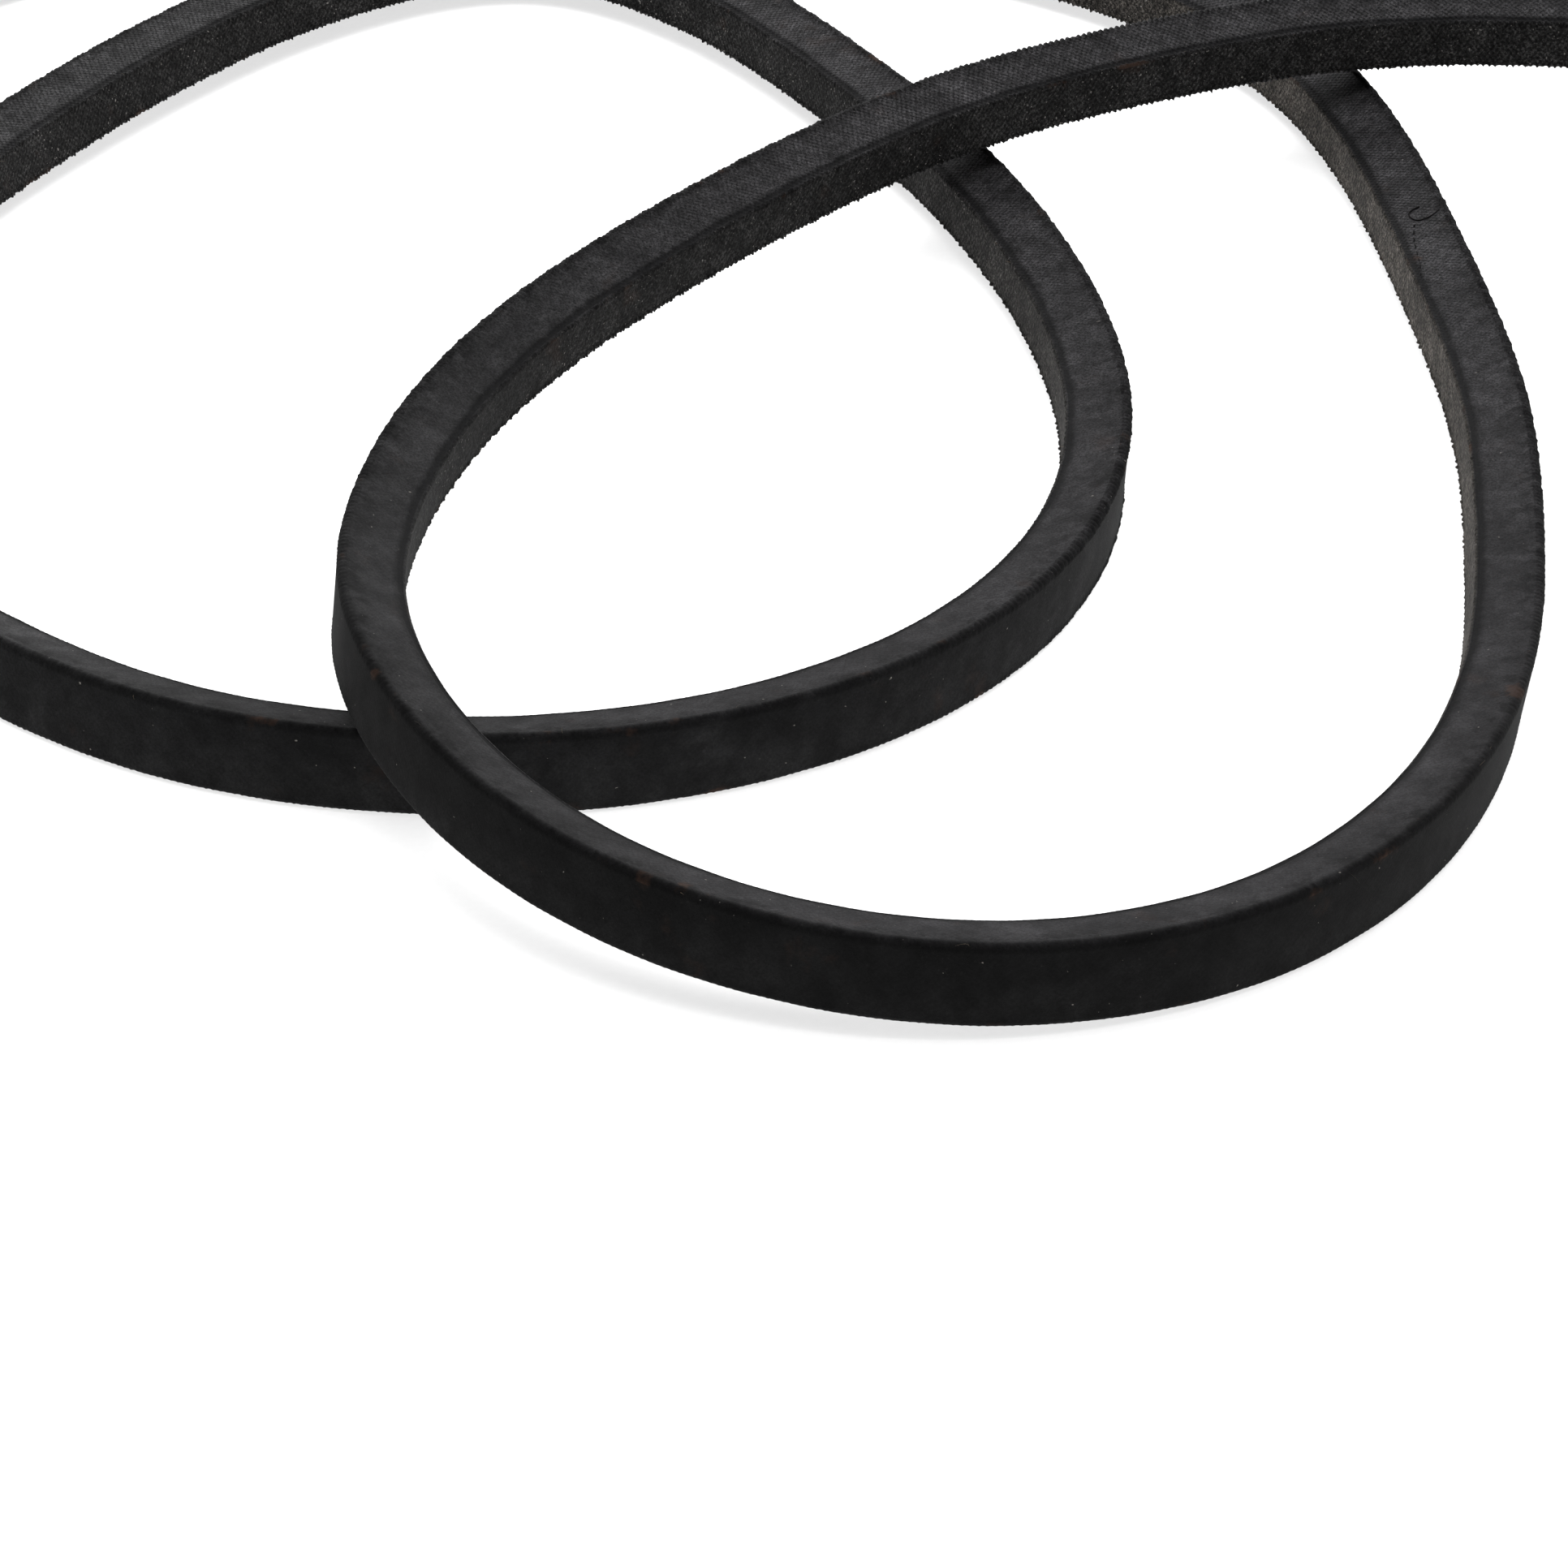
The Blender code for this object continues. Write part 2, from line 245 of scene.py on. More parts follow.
def closed_spline(points, samples):
    """A smooth closed curve through the points, as evenly spread samples of the parameter."""
    steps = np.linalg.norm(np.roll(points, -1, axis=0)[:, :2] - points[:, :2], axis=1)
    count = len(points)
    before = np.roll(steps, 1)
    rise = (np.roll(points, -1, axis=0) - points) / steps[:, None]
    matrix = np.zeros((count, count))
    for i in range(count):
        matrix[i, i - 1] = before[i]
        matrix[i, i] = 2 * (before[i] + steps[i])
        matrix[i, (i + 1) % count] = steps[i]
    bend = np.linalg.solve(matrix, 6 * (rise - np.roll(rise, 1, axis=0)))
    starts = np.concatenate([[0], np.cumsum(steps)])
    at = np.arange(samples) / samples * starts[-1]
    i = np.searchsorted(starts, at, side="right") - 1
    j = (i + 1) % count
    a = ((starts[i + 1] - at) / steps[i])[:, None]
    b = 1 - a
    size = (steps[i] ** 2 / 6)[:, None]
    return a * points[i] + b * points[j] + ((a**3 - a) * bend[i] + (b**3 - b) * bend[j]) * size


def corners():
    """The four corners of the V, from the wide face's upper corner round."""
    half = THICKNESS / 2
    wide = TOP_WIDTH / 2
    narrow = wide - THICKNESS * FLANK_SLOPE
    return np.array([(half, wide), (-half, narrow), (-half, -narrow), (half, -wide)])


def lowest_corner(lean):
    """How far the section's lowest corner is below its middle, for a lean in radians."""
    points = corners()
    cut = []
    for i, corner in enumerate(points):
        for neighbour in (points[i - 1], points[(i + 1) % 4]):
            away = neighbour - corner
            cut.append(corner + away / np.linalg.norm(away) * CORNER_CUT)
    cut = np.array(cut)
    heights = cut[:, :1] * np.sin(lean) + cut[:, 1:] * np.cos(lean)
    return -heights.min(axis=0)


def evenly_along(values, distance, at):
    """Columns of values on a closed path, read at other distances along it."""
    around = np.vstack([values, values[:1]])
    return np.column_stack([np.interp(at, distance, column) for column in around.T])


class Route:
    """Sections at even spacing along the belt: middle, outward and widthwise axes, distance."""

    def __init__(self):
        dense = closed_spline(np.array(ROUTE, float), ROUTE_SAMPLES)
        lean = np.radians(dense[:, 3])
        height = np.maximum(dense[:, 2], 0) + lowest_corner(lean)
        middle = np.column_stack([dense[:, :2], height])
        steps = np.linalg.norm(np.roll(middle, -1, axis=0) - middle, axis=1)
        distance = np.concatenate([[0], np.cumsum(steps)])
        self.length = distance[-1]
        self.threads = round(self.length / THREAD_ALONG)
        count = self.threads * SECTIONS_PER_THREAD
        self.at = np.arange(count) * self.length / count
        even = evenly_along(np.column_stack([middle, lean]), distance, self.at)
        self.middle = even[:, :3]
        along = np.roll(self.middle, -1, axis=0) - np.roll(self.middle, 1, axis=0)
        self.along = along / np.linalg.norm(along, axis=1)[:, None]
        across = np.cross(self.along, (0, 0, 1))
        across /= np.linalg.norm(across, axis=1)[:, None]
        upward = np.cross(across, self.along)
        cos, sin = np.cos(even[:, 3])[:, None], np.sin(even[:, 3])[:, None]
        self.outward = across * cos + upward * sin
        self.widthwise = upward * cos - across * sin

    def place(self, sections, u, v):
        """Points of the belt, in metres, from section numbers and section coordinates."""
        out = self.outward[sections] * u[..., None]
        wide = self.widthwise[sections] * v[..., None]
        return (self.middle[sections] + out + wide) * MM


# ---- section


def rounded_corner(corner, before, after, radius):
    """Points and outward normals of an arc that rounds one corner of the section."""
    back = (before - corner) / np.linalg.norm(before - corner)
    on = (after - corner) / np.linalg.norm(after - corner)
    half = math.acos(np.clip(back @ on, -1, 1)) / 2
    middle = (back + on) / np.linalg.norm(back + on)
    centre = corner + middle * radius / math.sin(half)
    turn = math.pi / 2 - half
    facing = math.atan2(-middle[1], -middle[0])
    angles = facing + np.linspace(-turn, turn, CORNER_STEPS)
    normals = np.column_stack([np.cos(angles), np.sin(angles)])
    return centre + normals * radius, normals


class Section:
    """The outline of the cover, from its seam on the upper flank round and back to the seam."""

    def __init__(self):
        points = corners()
        seam = points[0] + (points[1] - points[0]) * SEAM_PLACE
        flank = (points[1] - points[0]) / np.linalg.norm(points[1] - points[0])
        out = np.array([flank[1], -flank[0]])
        steps = np.arange(1, SEAM_STEPS + 1)[:, None] * SEAM_STEP_WIDTH
        outline, normals = [seam[None], seam + flank * steps], [out[None], out + 0 * steps]
        radii = [WIDE_RADIUS, NARROW_RADIUS, NARROW_RADIUS, WIDE_RADIUS]
        for i in (1, 2, 3, 0):
            arc, facing = rounded_corner(points[i], points[i - 1], points[(i + 1) % 4], radii[i])
            self.add_face(outline, normals, arc[0], facing[0])
            outline.append(arc)
            normals.append(facing)
        last = seam - flank * steps[::-1]
        self.add_face(outline, normals, last[0], out)
        self.points = np.vstack(outline + [last])
        self.normals = np.vstack(normals + [out + 0 * steps])
        steps = np.linalg.norm(np.roll(self.points, -1, axis=0) - self.points, axis=1)
        self.around = np.concatenate([[0], np.cumsum(steps)])[:-1]
        self.girth = steps.sum()
        self.threads = round(self.girth / THREAD_AROUND)
        bend = np.roll(self.normals, -1, axis=0) - np.roll(self.normals, 1, axis=0)
        self.edge = np.clip(np.linalg.norm(bend, axis=1) / EDGE_BEND, 0, 1)
        self.wide = np.clip(self.normals[:, 0], 0, 1)
        outer, upper = self.points.T > 0
        self.lumps = self.edge * np.where(outer | upper, QUIET_EDGE, 1)
        self.teeth = self.edge * np.where(upper & ~outer, QUIET_EDGE, 1)
        # how low a point lies across the section; the wide face's painted floor bounce follows it
        self.low = 0.5 - self.points[:, 1] / TOP_WIDTH
        turned = -self.normals[:, 0] - NARROW_TURN
        self.narrow = np.clip(turned / (1 - NARROW_TURN), 0, 1)
        reach = np.abs(self.points[:, 0] - THICKNESS / 2)
        # closeness to the wide face, which the material darkens as painted shade
        self.shoulder = np.exp(-reach / SHOULDER) * (1 - self.wide)

    @staticmethod
    def add_face(outline, normals, end, normal):
        """Points along a flat face, up to but without the point where the next part starts."""
        start = outline[-1][-1]
        share = (1 - np.cos(math.pi * np.arange(1, FACE_STEPS) / FACE_STEPS))[:, None] / 2
        outline.append(start + (end - start) * share)
        normals.append(normal + 0 * share)


# ---- cover


def from_seam(around, girth):
    """Distance round the section from the seam, less than zero on the wide face's side."""
    return (around + girth / 2) % girth - girth / 2


def soft_step(value, place, width):
    """0 well below the place and 1 well above it."""
    return 1 / (1 + np.exp(-np.clip((value - place) / width, -30, 30)))


def waves(along, length, counts, phases):
    """The mean of a few sine waves that close after the belt's whole length."""
    total = 0
    for count, phase in zip(counts, phases, strict=True):
        total = total + np.sin(2 * math.pi * count * along / length + phase)
    return total / len(counts)


def edge_relief(along, around, route, section):
    """Threads and longer lumps, where the fabric folds over the section's edges."""
    front = soft_step(route.middle[:, 1:2], *SMOOTH_FRONT_Y)
    kept = SMOOTH_FRONT + (1 - SMOOTH_FRONT) * front
    threads = TOOTH_LEVEL - np.abs(np.sin(math.pi * along * route.threads / route.length))
    threads = threads * (1 + TOOTH_UNEVEN * waves(along, route.length, *THREAD_WAVES))
    lumps = waves(along + NIBBLE_SLANT * around, route.length, *LUMP_WAVES)
    threads = (threads + TOOTH_STAND) * EDGE_TOOTH * section.teeth * kept
    return threads + (lumps + NIBBLE_STAND) * EDGE_NIBBLE * section.lumps * kept


def seam_relief(along, around, route, section):
    """The raised edge of the lapped ply and the sunken strip beside it."""
    wander = SEAM_WANDER * waves(along, route.length, *SEAM_WAVES)
    off = from_seam(around, section.girth) - wander
    strip = soft_step(off, 0, SEAM_SOFT[0]) * soft_step(SEAM_STRIP - off, 0, SEAM_SOFT[1])
    lap = (off < 0) * np.exp(-np.abs(off) / SEAM_LAP[1])
    return SEAM_LAP[0] * lap - SEAM_DEPTH * strip


def swell_relief(along, around, route, section):
    """Slow unevenness of the whole surface."""
    turn = 2 * math.pi * around / section.girth
    swell = waves(along, route.length, *SWELL_WAVES) * np.cos(turn + 1)
    swell += waves(along, route.length, *TWIST_WAVES) * np.cos(2 * turn)
    return SWELL * swell / 2


def grid_mesh(name, points):
    """A closed ring of quads over an array of points, sections by points round each."""
    rows, columns = points.shape[:2]
    mesh = bpy.data.meshes.new(name)
    row = np.arange(rows)[:, None] * columns
    ahead = (np.arange(rows)[:, None] + 1) % rows * columns
    column = np.arange(columns)
    beside = (column + 1) % columns
    quads = np.stack([row + column, ahead + column, ahead + beside, row + beside], axis=-1)
    mesh.vertices.add(rows * columns)
    mesh.vertices.foreach_set("co", points.astype(np.float32).ravel())
    mesh.loops.add(quads.size)
    mesh.loops.foreach_set("vertex_index", quads.astype(np.int32).ravel())
    mesh.polygons.add(rows * columns)
    mesh.polygons.foreach_set("loop_start", np.arange(0, quads.size, 4, dtype=np.int32))
    mesh.update(calc_edges=True)
    mesh.shade_smooth()
    return mesh


def add_belt_map(mesh, route, section):
    """A UV map of metres along the belt and metres round the section from the seam."""
    rows, columns = len(route.at), len(section.points)
    along = np.append(route.at, route.length) * MM
    around = np.append(section.around, section.girth) * MM
    i, j = np.arange(rows)[:, None], np.arange(columns)[None]
    corners_of = [(i, j), (i + 1, j), (i + 1, j + 1), (i, j + 1)]
    spread = np.zeros((rows, columns))
    uv = [np.stack([along[a] + spread, around[b] + spread], axis=-1) for a, b in corners_of]
    layer = mesh.uv_layers.new(name="belt")
    layer.data.foreach_set("uv", np.stack(uv, axis=2).astype(np.float32).ravel())


def add_point_values(mesh, name, values):
    """A number for each point, which the cover's material reads."""
    attribute = mesh.attributes.new(name, "FLOAT", "POINT")
    attribute.data.foreach_set("value", values.astype(np.float32).ravel())


def add_object(name, data):
    """A new object of that name in the scene."""
    made = bpy.data.objects.new(name, data)
    bpy.context.scene.collection.objects.link(made)
    return made


def build_cover(route, section):
    """The visible cover: the section with its relief, swept along the route."""
    rows = len(route.at)
    sections = np.repeat(np.arange(rows)[:, None], len(section.points), axis=1)
    place = route.at[:, None], section.around[None], route, section
    lift = edge_relief(*place) + seam_relief(*place) + swell_relief(*place)
    u = section.points[:, 0] + section.normals[:, 0] * lift
    v = section.points[:, 1] + section.normals[:, 1] * lift
    points = route.place(sections, u, v)
    points[..., 2] = np.maximum(points[..., 2], 0)  # its weight presses it flat on the floor
    mesh = grid_mesh("belt_cover", points)
    add_belt_map(mesh, route, section)
    for name in ("edge", "wide", "narrow", "shoulder", "low"):
        values = np.broadcast_to(getattr(section, name), sections.shape)
        add_point_values(mesh, name, values)
    return add_object("belt_cover", mesh)


# ---- loose fibres and the pulled thread


def fibre_path(rng, start, out, along):
    """A short curled line that leaves the cover's edge."""
    reach = rng.uniform(*FIBRE_LENGTH) * MM
    lean = out + along * rng.normal(0, FIBRE_LEAN[0]) + rng.normal(0, FIBRE_LEAN[1], 3)
    lean /= np.linalg.norm(lean)
    curl = np.cross(lean, rng.normal(0, 1, 3)) * rng.uniform(*FIBRE_CURL)
    share = np.linspace(0, 1, FIBRE_POINTS)[:, None]
    path = start - out * FIBRE_ROOT * MM + (lean * share + curl * share**2) * reach
    path[:, 2] = np.maximum(path[:, 2], 2 * FIBRE_RADIUS * MM)
    return path


def tube(path, radius):
    """Points round a thin tube that tapers to its end."""
    along = np.gradient(path, axis=0)
    along /= np.linalg.norm(along, axis=1)[:, None]
    side = np.cross(along, TUBE_TILT)
    side /= np.linalg.norm(side, axis=1)[:, None]
    other = np.cross(along, side)
    turn = np.arange(TUBE_SIDES) * 2 * math.pi / TUBE_SIDES
    size = radius * np.linspace(1, TUBE_END, len(path))[:, None, None]
    ring = side[:, None] * np.cos(turn)[:, None] + other[:, None] * np.sin(turn)[:, None]
    return path[:, None] + ring * size


def tube_faces(first, rings):
    """The sides of a tube whose points start at the given number."""
    faces = []
    for ring in range(rings - 1):
        a = first + ring * TUBE_SIDES
        for side in range(TUBE_SIDES):
            b = (side + 1) % TUBE_SIDES
            faces.append((a + side, a + b, a + TUBE_SIDES + b, a + TUBE_SIDES + side))
    return faces


def build_fibres(route, section):
    """Fine loose fibres of the cover, along the four edges."""
    rng = np.random.default_rng(FIBRE_SEED)
    edges = np.flatnonzero(section.edge > FIBRE_EDGE)
    points, faces = [], []
    for _ in range(FIBRES):
        i = rng.integers(len(route.at))
        j = rng.choice(edges)
        u, v = section.points[j]
        start = route.place(np.array([i]), np.array([u]), np.array([v]))[0]
        out = route.outward[i] * section.normals[j, 0] + route.widthwise[i] * section.normals[j, 1]
        rings = tube(fibre_path(rng, start, out, route.along[i]), FIBRE_RADIUS * MM)
        first = sum(len(p) for p in points)
        points.append(rings.reshape(-1, 3))
        faces += tube_faces(first, FIBRE_POINTS)
    mesh = bpy.data.meshes.new("cover_fibres")
    mesh.from_pydata(np.vstack(points).tolist(), [], faces)
    mesh.shade_smooth()
    return add_object("cover_fibres", mesh)


def smoothed(points):
    """A line through the points with its corners cut again and again."""
    points = np.array(points, float)
    for _ in range(SMOOTHING_ROUNDS):
        near = (1 - SMOOTHING_CUT) * points[:-1] + SMOOTHING_CUT * points[1:]
        far = SMOOTHING_CUT * points[:-1] + (1 - SMOOTHING_CUT) * points[1:]
        cut = np.stack([near, far], axis=1).reshape(-1, 2)
        points = np.vstack([points[:1], cut, points[-1:]])
    return points


def thread_on_flank(route, line, depth):
    """A tube along a line on the upper flank, sunk into the cover by a depth in radii."""
    beside = np.argmin(np.linalg.norm(route.middle[:, :2] - PULLED_NEAR, axis=1))
    spacing = route.length / len(route.at)
    whole = np.round(line[:, 0] / spacing)
    sections = beside + whole.astype(int)
    u = line[:, 1]
    flank = TOP_WIDTH / 2 - (THICKNESS / 2 - u) * FLANK_SLOPE
    path = route.place(sections, u, flank - depth * PULLED_RADIUS)
    path += route.along[sections] * (line[:, :1] - whole[:, None] * spacing) * MM
    return tube(path, PULLED_RADIUS * MM)


def build_pulled_thread(route):
    """A black thread pulled out of the cover: a hook that lies on it and a stitched tail."""
    hook, tail = smoothed(PULLED_HOOK), smoothed(PULLED_TAIL)
    stitch = np.sin(2 * math.pi * tail[:, 0] / PULLED_STITCH)
    depth, swing = STITCH_DEPTH
    tubes = [
        thread_on_flank(route, hook, HOOK_DEPTH),
        thread_on_flank(route, tail, depth + swing * stitch),
    ]
    faces = tube_faces(0, len(hook)) + tube_faces(len(hook) * TUBE_SIDES, len(tail))
    mesh = bpy.data.meshes.new("pulled_thread")
    mesh.from_pydata(np.vstack([part.reshape(-1, 3) for part in tubes]).tolist(), [], faces)
    mesh.shade_smooth()
    return add_object("pulled_thread", mesh)


# ---- materials


class Shader:
    """A material's node tree, with short calls that add nodes to it."""

    def __init__(self, name):
        self.material = bpy.data.materials.new(name)
        self.material.use_nodes = True
        self.tree = self.material.node_tree
        self.surface = self.tree.nodes["Principled BSDF"]
        self.here = self.node("TexCoord").outputs["Object"]

    def node(self, kind, inputs=(), **settings):
        made = self.tree.nodes.new("ShaderNode" + kind)
        for name, value in settings.items():
            setattr(made, name, value)
        for socket, value in dict(inputs).items():
            self.put(made.inputs[socket], value)
        return made

    def put(self, socket, value):
        if isinstance(value, bpy.types.NodeSocket):
            self.tree.links.new(value, socket)
        elif socket.type == "RGBA":
            socket.default_value = (*value, 1.0)
        else:
            socket.default_value = value

    def finish(self, **inputs):
        """Sets the surface's inputs, named with _ for a space, and gives the material."""
        for name, value in inputs.items():
            self.put(self.surface.inputs[name.replace("_", " ")], value)
        return self.material

    def attribute(self, name):
        return self.node("Attribute", attribute_name=name).outputs["Fac"]

    def math(self, operation, first, second=0.0, third=0.0):
        inputs = {0: first, 1: second, 2: third}
        return self.node("Math", inputs, operation=operation).outputs[0]

    def product(self, first, *others):
        for other in others:
            first = self.math("MULTIPLY", first, other)
        return first

    def varied(self, change, strength):
        """1, and more or less where the change times the strength says so."""
        return self.math("MULTIPLY_ADD", change, strength, 1)

    def noise(self, scale, detail=2.0, rough=0.5):
        inputs = {"Vector": self.here, "Scale": scale, "Detail": detail, "Roughness": rough}
        return self.node("TexNoise", inputs).outputs["Fac"]

    def step(self, value, low, high, to_low=0.0, to_high=1.0):
        inputs = {0: value, 1: low, 2: high, 3: to_low, 4: to_high}
        return self.node("MapRange", inputs, interpolation_type="SMOOTHSTEP").outputs[0]

    def spots(self, layer):
        """One of the noise layers listed at the top of this script."""
        noise, read, gives = layer
        return self.step(self.noise(*noise), *read, *gives)

    def distance_to(self, x, y, z):
        """Distance to a point that is given in millimetres."""
        centre = (x * MM, y * MM, z * MM)
        gap = self.node("VectorMath", {0: self.here, 1: centre}, operation="DISTANCE")
        return gap.outputs["Value"]

    def mix(self, factor, first, second, blend="MIX"):
        made = self.node("Mix", data_type="RGBA", blend_type=blend)
        for index, value in ((0, factor), (6, first), (7, second)):
            self.put(made.inputs[index], value)
        return made.outputs[2]

    def bump(self, height, distance):
        return self.node("Bump", {"Height": height, "Distance": distance}).outputs["Normal"]


def weave_nodes(shader, route, section):
    """A plain weave on the bias, from the belt's UV map: its height, and the two distances."""
    uv = shader.node("UVMap", uv_map="belt").outputs["UV"]
    place = shader.node("SeparateXYZ", {"Vector": uv})
    ahead = math.pi * route.threads / (route.length * MM)
    across = math.pi * section.threads / (section.girth * MM)
    along = shader.math("MULTIPLY", place.outputs["X"], ahead)
    around = shader.math("MULTIPLY", place.outputs["Y"], across)
    angles = shader.math("ADD", along, around), shader.math("SUBTRACT", along, around)
    first, second = (shader.math("SINE", angle) for angle in angles)
    over = shader.math("MULTIPLY", shader.math("SIGN", first), second)
    under = shader.math("MULTIPLY", shader.math("SIGN", second), first)
    over = shader.math("MULTIPLY_ADD", over, INTERLACE, shader.math("ABSOLUTE", first))
    under = shader.math("MULTIPLY_ADD", under, -INTERLACE, shader.math("ABSOLUTE", second))
    return shader.math("MAXIMUM", over, under), place.outputs["X"], place.outputs["Y"]


def cover_tone(shader, x, y, z):
    """The cover's base colour: grey flanks that change from place to place, a wide face with painted
    floor bounce, and a narrow face with dust and painted sheen.
    """
    flank = shader.mix(shader.step(x, *PALER_X), FLANK_DARK, FLANK_PALE)
    flank = shader.mix(shader.step(x, *LEFT_X, 1, 0), flank, FLANK_LEFT)
    # painted light from the floor's bounce: the wide face lighter towards the bottom
    low = shader.attribute("low")
    back = shader.mix(low, BACK_TOP, BACK_BOUNCE_LIT)
    under = shader.product(shader.step(x, *UNDER_X, 1, 0), shader.step(y, *UNDER_Y),
                           shader.step(z, *UNDER_Z, 1, 0))
    back = shader.mix(under, back, shader.mix(low, UNDER_TOP, UNDER_BOUNCE_LIT))
    colour = shader.mix(shader.attribute("wide"), flank, back)
    narrow = shader.attribute("narrow")
    colour = shader.mix(narrow, colour, NARROW_TONE)
    # dust and painted sheen on the narrow face of the low right-hand strands
    dust_and_sheen = shader.product(shader.step(x, *DUST_AND_SHEEN_X), shader.step(z, *DUST_AND_SHEEN_Z, 1, 0), narrow)
    return shader.mix(dust_and_sheen, colour, DUST_AND_SHEEN_TONE)


def weave_shade(shader, height, crisp, y):
    """Light and dark of the threads, with blotches, smudges, grime and the narrow face's grain."""
    fine = shader.step(y, *FINE_Y, *FINE)
    threads = shader.varied(shader.step(height, *WEAVE_SHADE[0], *WEAVE_SHADE[1]), crisp)
    smudges = shader.varied(shader.spots(SMUDGES), fine)
    blotches = shader.product(shader.spots(BLOTCHES), shader.spots(PATCHES), smudges)
    grime = shader.varied(shader.spots(GRIME), fine)
    grain = shader.varied(shader.spots(GRAIN), shader.attribute("narrow"))
    return shader.product(shader.product(threads, blotches), grime, grain)


def wear_and_painted_shade(shader, y):
    """Darker edges, painted shade on the shoulders that is strongest on the front strands, mottling
    there, and the places that are rubbed pale.
    """
    edges = shader.step(shader.attribute("edge"), 0, 1, 1, EDGE_SHADE)
    shoulder = shader.attribute("shoulder")
    # painted shade on the shoulder, stronger towards the front
    dark = shader.step(y, *SHOULDER_Y, *SHOULDER_PAINTED_SHADE)
    dark = shader.math("MULTIPLY_ADD", shader.step(shoulder, 0, 1), dark, SHOULDER_GAIN)
    mottle = shader.varied(shader.spots(MOTTLE), shader.step(shoulder, *MOTTLE_REACH))
    rubbed = shader.varied(rubbed_nodes(shader), RUBBED_GAIN)
    return shader.product(edges, rubbed, dark, mottle)


def stain_nodes(shader):
    """1 in the middle of each brown stain, with an uneven rim."""
    ragged = shader.math("MULTIPLY_ADD", shader.noise(900, 3), *STAIN_FRAY)
    total = 0.0
    for x, y, z, radius in STAINS:
        reach = shader.math("DIVIDE", shader.distance_to(x, y, z), radius * MM)
        spot = shader.step(shader.math("ADD", reach, ragged), *STAIN_RIM, STAIN_STRENGTH, 0)
        total = shader.math("MAXIMUM", total, spot)
    return total


def rubbed_nodes(shader):
    """1 in the middle of each rubbed place, and less towards its soft rim."""
    total = 0.0
    for x, y, z, radius in RUBBED:
        core = RUBBED_CORE * radius * MM
        spot = shader.step(shader.distance_to(x, y, z), core, radius * MM, 1, 0)
        total = shader.math("MAXIMUM", total, spot)
    return shader.product(total, shader.spots(RUBBED_NOISE))


def seam_nodes(shader, along, around, route, section):
    """1 on the dark strip between the lapped edge of the cover's outer ply and the narrow face."""
    girth = section.girth * MM
    round_it = shader.math("WRAP", around, girth / 2, -girth / 2)
    total = 0.0
    for count, phase in zip(*SEAM_WAVES, strict=True):
        turn = 2 * math.pi * count / (route.length * MM)
        wave = shader.math("SINE", shader.math("MULTIPLY_ADD", along, turn, phase))
        total = shader.math("ADD", total, wave)
    off = shader.math("MULTIPLY_ADD", total, -SEAM_WANDER / len(SEAM_WAVES[0]) * MM, round_it)
    ragged = shader.math("MULTIPLY_ADD", shader.noise(600, 3, 0.7), SEAM_FRAY * MM, off)
    start = shader.step(ragged, *(limit * MM for limit in SEAM_START))
    limits = ((SEAM_STRIP + limit) * MM for limit in SEAM_END)
    return shader.product(start, shader.step(off, *limits, SEAM_STRENGTH, 0))


def add_marks(shader, colour, crisp):
    """Rust, stains, lint and painted glints as pale specks, most of them on the narrow face."""
    edge = shader.step(shader.attribute("edge"), *RUST_EDGES[0], *RUST_EDGES[1])
    rust = shader.math("MAXIMUM", shader.product(shader.spots(RUST), edge), stain_nodes(shader))
    colour = shader.mix(rust, colour, RUST_TONE)
    colour = shader.mix(shader.spots(LINT), colour, LINT_TONE)
    # painted glints: pale specks, most of them on the narrow face
    where = shader.math("MULTIPLY_ADD", crisp, GLINT_WEAVE, shader.attribute("narrow"))
    glints = shader.product(shader.spots(GLINT_DOTS), shader.spots(GLINT_CLUSTERS), where)
    return shader.mix(glints, colour, GLINT_TONE)


def cover_material(route, section):
    """Black bias-woven cover fabric, rubbed into the weave, with wear, lint, a lap seam, and painted
    shade, light, sheen and glints.
    """
    shader = Shader("cover_fabric")
    height, along, around = weave_nodes(shader, route, section)
    place = shader.node("SeparateXYZ", {"Vector": shader.here})
    x, y, z = (place.outputs[axis] for axis in "XYZ")
    crisp = shader.product(shader.step(y, *CRISP_Y, *CRISP), shader.spots(UNEVEN_WEAVE))
    shade = shader.product(weave_shade(shader, height, crisp, y), wear_and_painted_shade(shader, y))
    grey = shader.node("CombineColor", {"Red": shade, "Green": shade, "Blue": shade})
    colour = shader.mix(1.0, cover_tone(shader, x, y, z), grey.outputs[0], "MULTIPLY")
    colour = add_marks(shader, colour, crisp)
    seam = seam_nodes(shader, along, around, route, section)
    colour = shader.mix(seam, colour, SEAM_TONE)
    rough = shader.step(height, *WEAVE_ROUGH[0], *WEAVE_ROUGH[1])
    rough = shader.math("MULTIPLY_ADD", rough, crisp, ROUGH)
    fuzz = shader.product(shader.noise(*FUZZ), FUZZ_HEIGHT)
    surface = shader.math("MULTIPLY_ADD", height, crisp, fuzz)
    return shader.finish(
        Base_Color=colour, Roughness=rough, Normal=shader.bump(surface, FABRIC_RELIEF * MM),
        Specular_IOR_Level=SPECULAR, Sheen_Weight=SHEEN, Sheen_Roughness=SHEEN_ROUGH,
    )


def fibre_material():
    """Tan and brown lint."""
    shader = Shader("loose_fibre")
    pick = shader.step(shader.noise(90, 1), 0.4, 0.6)
    colour = shader.mix(pick, (0.05, 0.043, 0.036), (0.22, 0.17, 0.12))
    rough = shader.step(shader.noise(2500, 2), 0.2, 0.8, 0.7, 0.95)
    return shader.finish(Base_Color=colour, Roughness=rough, Specular_IOR_Level=0.2)


